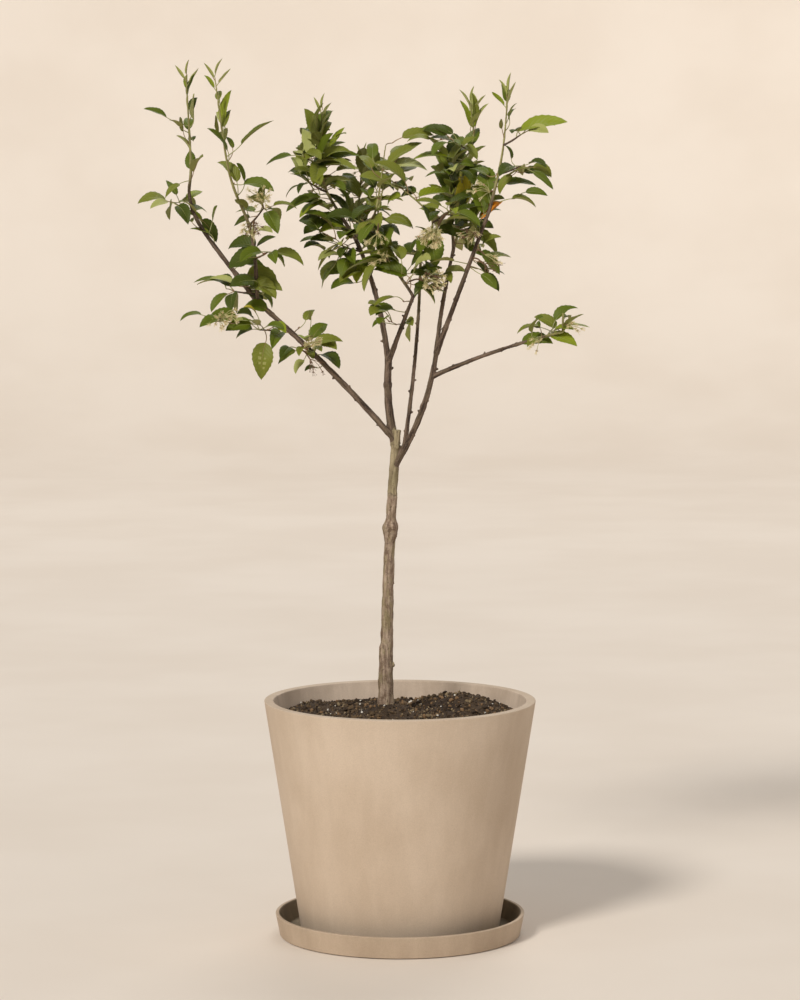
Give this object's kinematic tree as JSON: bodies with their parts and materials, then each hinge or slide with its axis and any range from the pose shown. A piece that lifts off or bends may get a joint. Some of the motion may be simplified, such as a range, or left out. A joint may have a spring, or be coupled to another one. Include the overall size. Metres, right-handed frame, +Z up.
{
  "type": "potted apple tree",
  "caption": "Young apple tree with an open goblet crown of leaves and spent blossom, growing in a round tapered pot that stands in a saucer.",
  "frame": {"origin": "centre of the saucer's flat underside, on the floor", "axes": "+Z up along the pot's axis, -Y towards the front, +X to the right as seen from the front"},
  "size_m": [0.6477, 0.4142, 1.2798],
  "materials": {
    "clay": "matt, fine grained beige",
    "soil": "crumbly dark brown potting mix with white specks",
    "bark": "grey brown bark with fine ridges and pores",
    "leaves": "mid green leaves with paler undersides"
  },
  "bodies": {
    "root": {"saucer": "clay", "pot": "clay", "soil": "soil", "trunk": "bark", "centre_left_bough": "bark", "centre_left_leader": "bark", "centre_right_leader": "bark", "left_bough": "bark", "middle_bough": "bark", "right_back_leader": "bark", "right_bough": "bark", "right_front_leader": "bark", "right_side_bough": "bark", "centre_back_leaves": "leaves", "centre_crown_leaves": "leaves", "centre_front_leaves": "leaves", "centre_hanging_leaves": "leaves", "centre_leaves": "leaves", "centre_left_leaves": "leaves", "centre_top_leaves": "leaves", "left_blossom_leaves": "leaves", "left_elbow_leaves": "leaves", "left_end_leaf": "leaves", "left_hanging_leaves": "leaves", "left_inner_leaf": "leaves", "left_level_leaves": "leaves", "left_low_leaves": "leaves", "left_outer_leaves": "leaves", "left_second_leaves": "leaves", "left_spur_leaves": "leaves", "left_tip_leaves": "leaves", "right_back_leaves": "leaves", "right_crown_leaves": "leaves", "right_far_leaf": "leaves", "right_inner_leaves": "leaves", "right_leaves": "leaves", "right_low_leaves": "leaves", "right_outer_leaves": "leaves", "right_reaching_leaves": "leaves", "right_side_leaves": "leaves", "right_tip_leaves": "leaves", "right_upright_leaves": "leaves"}
  },
  "joints": []
}
